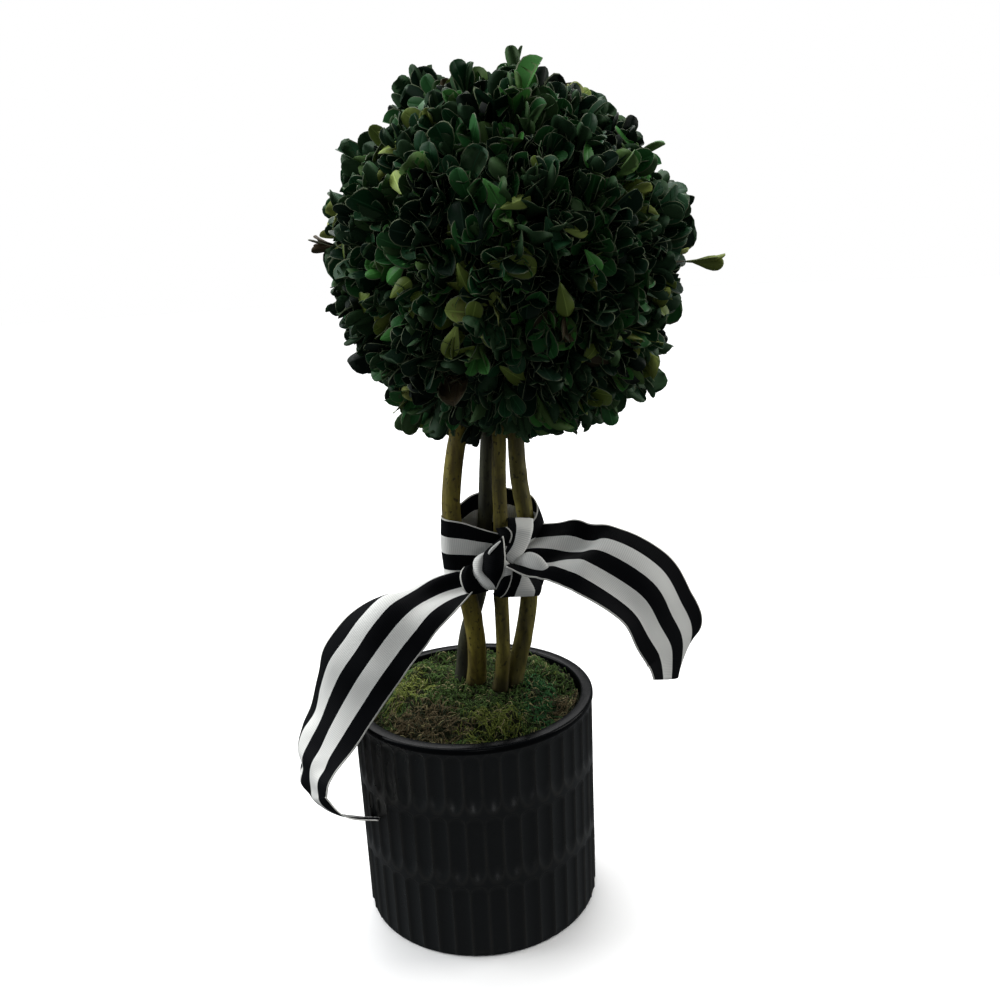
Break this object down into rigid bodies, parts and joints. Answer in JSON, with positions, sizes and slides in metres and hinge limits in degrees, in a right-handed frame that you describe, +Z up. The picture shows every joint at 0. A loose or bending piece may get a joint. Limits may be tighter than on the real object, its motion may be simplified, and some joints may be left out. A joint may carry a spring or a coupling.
{
  "type": "preserved box topiary ball in a pot",
  "caption": "Small box topiary: a clipped ball of leaves on bent stems, set in moss in a round fluted pot, with a striped ribbon tied round the stems.",
  "frame": {"origin": "centre of the pot's flat underside, where it stands", "axes": "+Z up along the pot's axis, -Y towards the front where the ribbon is knotted, +X to the right seen from the front"},
  "size_m": [0.1878, 0.142, 0.3633],
  "materials": {
    "glaze": "satin gloss black glaze, fluted",
    "foam": "dry, crumbly and matt",
    "moss": "dry tangled fibres, yellow-green to brown",
    "bark": "smooth olive bark with dark specks",
    "dark_bark": "weathered dark bark",
    "leaf": "waxy dark green with paler margins",
    "ribbon": "matt cross-ribbed weave in black and white stripes"
  },
  "bodies": {
    "root": {"pot": "glaze", "foam_plug": "foam", "moss": "moss", "stem_left": "bark", "stem_centre": "bark", "stem_right": "bark", "stem_back": "dark_bark", "foliage_ball": "leaf", "ribbon_turn": "ribbon", "ribbon_knot": "ribbon", "ribbon_tail_left": "ribbon", "ribbon_tail_right": "ribbon"}
  },
  "joints": []
}
